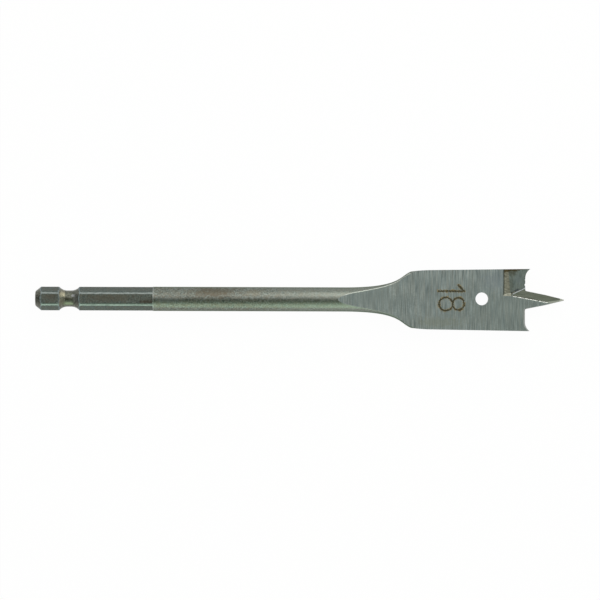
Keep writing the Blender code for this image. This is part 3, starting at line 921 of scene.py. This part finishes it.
def finishes():
    """What each tool leaves: its dark and light colours, then its tints, grain and marks."""
    return {
        "forged": forged_steel(
            "forged_skin",
            (0.092, 0.11, 0.1),
            (0.262, 0.286, 0.262),
            (0.175, 0.155, 0.12),
            (0.5, 0.56, 0.5),
            forged_marks,
        ),
        "hex": forged_steel(
            "milled_hex",
            (0.075, 0.09, 0.086),
            (0.165, 0.186, 0.172),
            (0.13, 0.12, 0.095),
            (0.8, 0.9, 0.9),
            hex_marks,
            HEX_SHINE,
        ),
        "corner": turned_steel(
            "turned_corner", (0.08, 0.096, 0.09), (0.16, 0.182, 0.176), corner_highlights
        ),
        "turned": turned_steel(
            "turned_groove", (0.08, 0.085, 0.07), (0.26, 0.26, 0.215), groove_marks
        ),
        "ground": ground_steel(
            "ground_face",
            (0.152, 0.186, 0.193),
            (0.36, 0.405, 0.411),
            (0.35, 0.325, 0.275),
            mark=burnt_number,
        ),
        "side": ground_steel(
            "ground_side", (0.2, 0.22, 0.2), (0.3, 0.32, 0.29), (0.25, 0.25, 0.2)
        ),
        "end": ground_steel(
            "ground_end", (0.14, 0.16, 0.145), (0.24, 0.26, 0.23), (0.2, 0.2, 0.16)
        ),
        "pocket": ground_steel(
            "ground_pocket",
            (0.148, 0.18, 0.174),
            (0.245, 0.282, 0.272),
            (0.19, 0.185, 0.15),
            length=0.002,
            mark=pocket_marks,
        ),
        "hollow": ground_steel(
            "ground_hollow",
            (0.1, 0.1, 0.08),
            (0.29, 0.29, 0.24),
            (0.24, 0.235, 0.18),
            length=0.0012,
            turn=math.pi / 2,
            mark=pocket_marks,
        ),
        # The pocket's inner wall: a light cream, partly the bright burr along its edge and partly
        # painted light
        "wall": ground_steel(
            "ground_wall", (0.3, 0.3, 0.25), (0.6, 0.6, 0.52), (0.5, 0.48, 0.38), length=0.001
        ),
        "bevel": ground_steel(
            "ground_bevel",
            (0.074, 0.086, 0.067),
            (0.15, 0.167, 0.138),
            (0.1, 0.1, 0.075),
            length=0.004,
            turn=math.pi / 2 - BEVEL_SKEW,
            mark=bevel_marks,
        ),
        "tip": ground_steel(
            "ground_tip", (0.28, 0.29, 0.265), (0.38, 0.39, 0.36), (0.33, 0.33, 0.29)
        ),
        "burr": turned_steel("bright_burr", (0.66, 0.64, 0.63), (0.8, 0.78, 0.77)),
        # The flare's edges: a painted highlight on the +Y edge, and a dimmer painted-shade copy at
        # -Y
        "flank_edge": turned_steel("painted_highlight_edge", (0.42, 0.43, 0.41), (0.58, 0.59, 0.56)),
        "low_edge": turned_steel("painted_shade_edge", (0.17, 0.19, 0.17), (0.25, 0.27, 0.25)),
        # The raised ridge is real geometry; its bright colour is partly a painted highlight
        "ridge": turned_steel("painted_highlight_ridge", (0.32, 0.345, 0.37), (0.45, 0.475, 0.51)),
    }


class Workpiece:
    """The bar on the bit's axis, and the cutters that take material off it."""

    def __init__(self, bar_mesh, finish):
        self.bar = bpy.data.objects.new("forged_bar", bar_mesh)
        self.bar.data.materials.append(finish)
        self.half_turn = bpy.data.objects.new("half_turn", None)
        self.half_turn.rotation_euler.x = math.pi
        self.scratch = [self.bar, self.half_turn]
        for item in self.scratch:
            bpy.context.scene.collection.objects.link(item)

    def cutter(self, mesh, finish, location=(0, 0, 0), rotation=(0, 0, 0)):
        cutter = bpy.data.objects.new(mesh.name, mesh)
        mesh.materials.append(finish)
        cutter.location = location
        cutter.rotation_euler = rotation
        bpy.context.scene.collection.objects.link(cutter)
        self.scratch.append(cutter)
        return cutter

    def opposite(self, cutter):
        """A copy of the cutter and of what shapes it, turned half round about the bit's axis."""
        copy = cutter.copy()
        copy.parent = self.half_turn
        bpy.context.scene.collection.objects.link(copy)
        self.scratch.append(copy)
        for modifier in copy.modifiers:
            modifier.object = self.opposite(modifier.object)
        return copy

    def cut(self, cutter):
        boolean(self.bar, "DIFFERENCE", cutter)

    def cut_both_sides(self, cutter):
        self.cut(cutter)
        self.cut(self.opposite(cutter))

    def finished(self, name):
        """The cut bar as plain mesh, lying where the solid lies. The cutters are removed."""
        bpy.context.view_layer.update()
        graph = bpy.context.evaluated_depsgraph_get()
        mesh = bpy.data.meshes.new_from_object(self.bar.evaluated_get(graph))
        for item in self.scratch:
            bpy.data.objects.remove(item, do_unlink=True)
        mesh.name = name
        mesh.transform(LYING)
        shade(mesh)
        return mesh


def boolean(obj, operation, other):
    modifier = obj.modifiers.new(other.name, "BOOLEAN")
    modifier.operation = operation
    modifier.solver = "EXACT"
    modifier.material_mode = "TRANSFER"
    modifier.object = other


def shade(mesh):
    """Smooth, with sharp edges at corners and wherever one finish meets another."""
    mesh.shade_smooth()
    mesh.set_sharp_from_angle(angle=SHARP_ANGLE)
    shape = bmesh.new()
    shape.from_mesh(mesh)
    for edge in shape.edges:
        if len({face.material_index for face in edge.link_faces}) > 1:
            edge.smooth = False
    shape.to_mesh(mesh)
    shape.free()


def make_shank(work, finish):
    along_x = (0, -math.pi / 2, 0)
    length = SHANK_LENGTH + CLEAR
    flats = cylinder("flats", PAST_FACE, length, ROUND_SEGMENTS)
    hex_core = cylinder("hex_core", ACROSS_FLATS / math.sqrt(3), length + 2 * CLEAR, 6)
    sleeve = work.cutter(flats, finish["hex"], (-CLEAR, 0, 0), along_x)
    core = work.cutter(hex_core, finish["hex"], (-2 * CLEAR, 0, 0), along_x)
    boolean(sleeve, "DIFFERENCE", core)
    work.cut(sleeve)
    lathe = work.cutter(lathe_mesh(), finish["turned"])
    lathe.data.materials.append(finish["corner"])
    work.cut(lathe)


def make_blade(work, finish):
    work.cut(work.cutter(shaft_flat_mesh(), finish["forged"]))
    work.cut_both_sides(work.cutter(ground_face_mesh(), finish["ground"]))
    work.cut_both_sides(work.cutter(ground_side_mesh(), finish["side"]))
    hole = cylinder("hole", HOLE_DIAMETER / 2, 2 * PAST_FACE, ROUND_SEGMENTS)
    hole_place = (LIP_X - HOLE_TO_LIP, HOLE_OFFSET, PAST_FACE)
    work.cut(work.cutter(hole, finish["turned"], hole_place))


def make_cutting_end(work, finish):
    work.cut(work.cutter(end_mesh(chipped_lip()), finish["end"]))
    work.cut(work.opposite(work.cutter(end_mesh(), finish["end"])))
    pocket = work.cutter(pocket_mesh(), finish["pocket"])
    pocket.data.materials.append(finish["hollow"])
    pocket.data.materials.append(finish["bevel"])
    boolean(pocket, "INTERSECT", work.cutter(pocket_reach_mesh(), finish["wall"]))
    work.cut_both_sides(pocket)
    bevel_start = (POCKET_X + POCKET_NOSE, POCKET_CORNER_TOP, HALF_THICKNESS)
    bevel_turn = (-BEVEL_ANGLE, 0, -BEVEL_SKEW)
    work.cut_both_sides(work.cutter(bevel_mesh(), finish["bevel"], bevel_start, bevel_turn))
    work.cut_both_sides(work.cutter(tip_chisel_mesh(), finish["tip"]))


def add_piece(name, mesh):
    piece = bpy.data.objects.new(name, mesh)
    bpy.context.scene.collection.objects.link(piece)
    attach(piece, "root")
    return piece


def make_bit(finish):
    work = Workpiece(forged_bar_mesh(), finish["forged"])
    make_shank(work, finish)
    make_blade(work, finish)
    make_cutting_end(work, finish)
    bit = add_piece("dressed_spade_bit", work.finished("dressed_spade_bit"))
    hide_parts("spade_bit")


def add_burr(name, path, width, ruggedness, finish):
    """A burr along a path on the front, and its twin on the back."""
    for face, turn in (("front", 0), ("back", math.pi)):
        mesh = burr_mesh(path, width, ruggedness)
        mesh.materials.append(finish)
        mesh.transform(LYING @ Matrix.Rotation(turn, 4, "X"))
        add_piece(f"{face}_{name}", mesh)


def straight_path(start, end):
    return [start.lerp(end, i / BURR_STEPS) for i in range(BURR_STEPS + 1)]


def make_burrs(finish):
    start = Vector((POCKET_X + POCKET_NOSE, POCKET_CORNER_TOP, HALF_THICKNESS))
    end = start + Matrix.Rotation(-BEVEL_SKEW, 3, "Z") @ Vector((BURR_LENGTH, 0, 0))
    add_burr("burr", straight_path(start, end), BURR_WIDTH, BURR_RUGGEDNESS, finish["burr"])
    ridge_start = on_bevel(start, POCKET_X + POCKET_NOSE, POCKET_NOSE_TOP)
    ridge_end = on_bevel(start, LIP_X, POCKET_ROOT_TOP)
    ridge = straight_path(ridge_start, ridge_end)
    add_burr("ridge", ridge, RIDGE_WIDTH, RIDGE_RUGGEDNESS, finish["ridge"])
    for name, side, width in (("flank_edge", 1, EDGE_WIDTH), ("low_edge", -1, LOW_EDGE_WIDTH)):
        add_burr(name, flank_edge(side, width), width, RIDGE_RUGGEDNESS, finish[name])


def flank_edge(side, width):
    """The edge of the ground face along the flare, on the side towards +Y or -Y."""
    profile = forged_profile()
    path = []
    for i in range(1, BURR_STEPS):
        x = FACE_START + (FLARE_END - FACE_START) * i / BURR_STEPS
        height = max(HALF_THICKNESS, SHAFT_RADIUS - (x - FACE_START) * math.tan(FACE_SLOPE))
        if height + width * BURR_STEEPNESS > -FLAT_Z:
            continue
        before, after = next(pair for pair in zip(profile, profile[1:]) if pair[1][0] > x)
        share = (x - before[0]) / (after[0] - before[0])
        half_width = before[1] + (after[1] - before[1]) * share
        y = half_width * math.sqrt(1 - (height / SHAFT_RADIUS) ** 2)
        path.append(Vector((x, side * y, height)))
    return path


def on_bevel(start, x, y):
    """The point of the bevel at x and y, moved out with the draft of the pocket's wall."""
    off_line = (x - start.x) * math.sin(BEVEL_SKEW) + (y - start.y) * math.cos(BEVEL_SKEW)
    drop = off_line * math.tan(BEVEL_ANGLE)
    draft = (POCKET_ROOT_FOOT - POCKET_ROOT_TOP) / POCKET_FOOT_DEPTH
    return Vector((x, y + drop * draft, HALF_THICKNESS - drop))


def white_floor():
    """A matt floor that reads as the white of the photograph and still takes a faint shadow."""
    look = NodeMaterial("white_floor", metallic=0.0)
    matt = {"Base Color": FLOOR_COLOR, "Roughness": 1.0, "Specular IOR Level": 0.0}
    look.feed(look.shader, matt)
    rays = look.add("LightPath").outputs
    mirrored = look.math("MAXIMUM", rays["Is Camera Ray"], rays["Is Glossy Ray"])
    seen = look.math("MAXIMUM", mirrored, rays["Is Transmission Ray"])
    share = look.math("MULTIPLY", seen, PLAIN_WHITE)
    white = look.add("Emission").outputs["Emission"]
    blend = look.add("MixShader", {"Fac": share, 1: look.shader.outputs["BSDF"], 2: white})
    look.feed(look.nodes["Material Output"], {"Surface": blend.outputs["Shader"]})
    shape = bmesh.new()
    bmesh.ops.create_grid(shape, x_segments=1, y_segments=1, size=FLOOR_SIZE / 2)
    mesh = finished_mesh("floor", shape)
    mesh.materials.append(look.material)
    floor = bpy.data.objects.new("floor", mesh)
    bpy.context.scene.collection.objects.link(floor)


def ramp(tree, value, first, last, stops):
    """A colour ramp over a value. The ramp holds at most 1, so the colours are scaled down."""
    colors = tree.add("ValToRGB", {"Fac": tree.spread(value, first, last)})
    elements = colors.color_ramp.elements
    while len(elements) < len(stops):
        elements.new(1.0)
    for element, (at, color) in zip(elements, stops):
        element.position = (at - first) / (last - first)
        element.color = (*[part / TENT_STRENGTH for part in color], 1)
    return colors.outputs["Color"]


def light_tent():
    """A tent with a darker strip over the bit, bright at the point's end and dim at the shank's."""
    world = bpy.data.worlds.new("light_tent")
    world.use_nodes = True
    bpy.context.scene.world = world
    tree = Nodes(world.node_tree)
    x, y, z = tree.split(tree.add("TexCoord").outputs["Generated"])
    degrees = tree.math("DEGREES", tree.math("ARCTAN2", y, z))
    across = ramp(tree, degrees, -180, 180, TENT_ACROSS)
    ends = ramp(tree, x, -1, 1, TENT_ENDS)
    share = tree.spread(tree.math("ABSOLUTE", x), *TENT_END_SPREAD, kind="SMOOTHSTEP")
    tent = tree.nodes["Background"]
    tree.feed(tent, {"Strength": TENT_STRENGTH, "Color": tree.mix(share, across, ends)})
    white = tree.add("Background", {"Color": (1, 1, 1, 1)}).outputs["Background"]
    camera = tree.add("LightPath").outputs["Is Camera Ray"]
    seen = tree.add("MixShader", {"Fac": camera, 1: tent.outputs["Background"], 2: white})
    tree.feed(tree.nodes["World Output"], {"Surface": seen.outputs["Shader"]})


def softbox(name, centre, size, radiance, color):
    """An area light that faces the bit and looks as bright as its radiance says."""
    light = bpy.data.lights.new(name, "AREA")
    light.shape = "RECTANGLE"
    light.size = size[0]
    light.size_y = size[1]
    light.energy = radiance * math.pi * size[0] * size[1]
    light.color = color
    lamp = bpy.data.objects.new(name, light)
    lamp.location = centre
    lamp.rotation_euler = Vector(centre).to_track_quat("Z", "Y").to_euler()
    lamp.visible_camera = False
    bpy.context.scene.collection.objects.link(lamp)


def light_the_scene():
    light_tent()
    white_floor()
    centre, size = (0.075, 0.24, 0.19), (0.13, 0.24)
    softbox("high_back", centre, size, radiance=1.6, color=(1.0, 1.0, 0.97))


def set_camera():
    """The camera looks straight down, from far enough to see the blade as the photograph does."""
    data = bpy.data.cameras.new("photo_camera")
    data.sensor_width = SENSOR_WIDTH * MM_PER_METRE
    face_height = HALF_THICKNESS - FLAT_Z
    seen_width = METRES_PER_PIXEL * PHOTO_PIXELS
    data.lens = SENSOR_WIDTH * (CAMERA_HEIGHT - face_height) / seen_width * MM_PER_METRE
    data.clip_end = SIGHT
    camera = bpy.data.objects.new("photo_camera", data)
    camera.location = (*VIEW_CENTRE, CAMERA_HEIGHT)
    camera.rotation_euler = (0, 0, VIEW_TURN)
    bpy.context.scene.collection.objects.link(camera)
    bpy.context.scene.camera = camera
    bpy.context.scene.view_settings.view_transform = "Standard"


finish = finishes()
make_bit(finish)
make_burrs(finish)
light_the_scene()
set_camera()
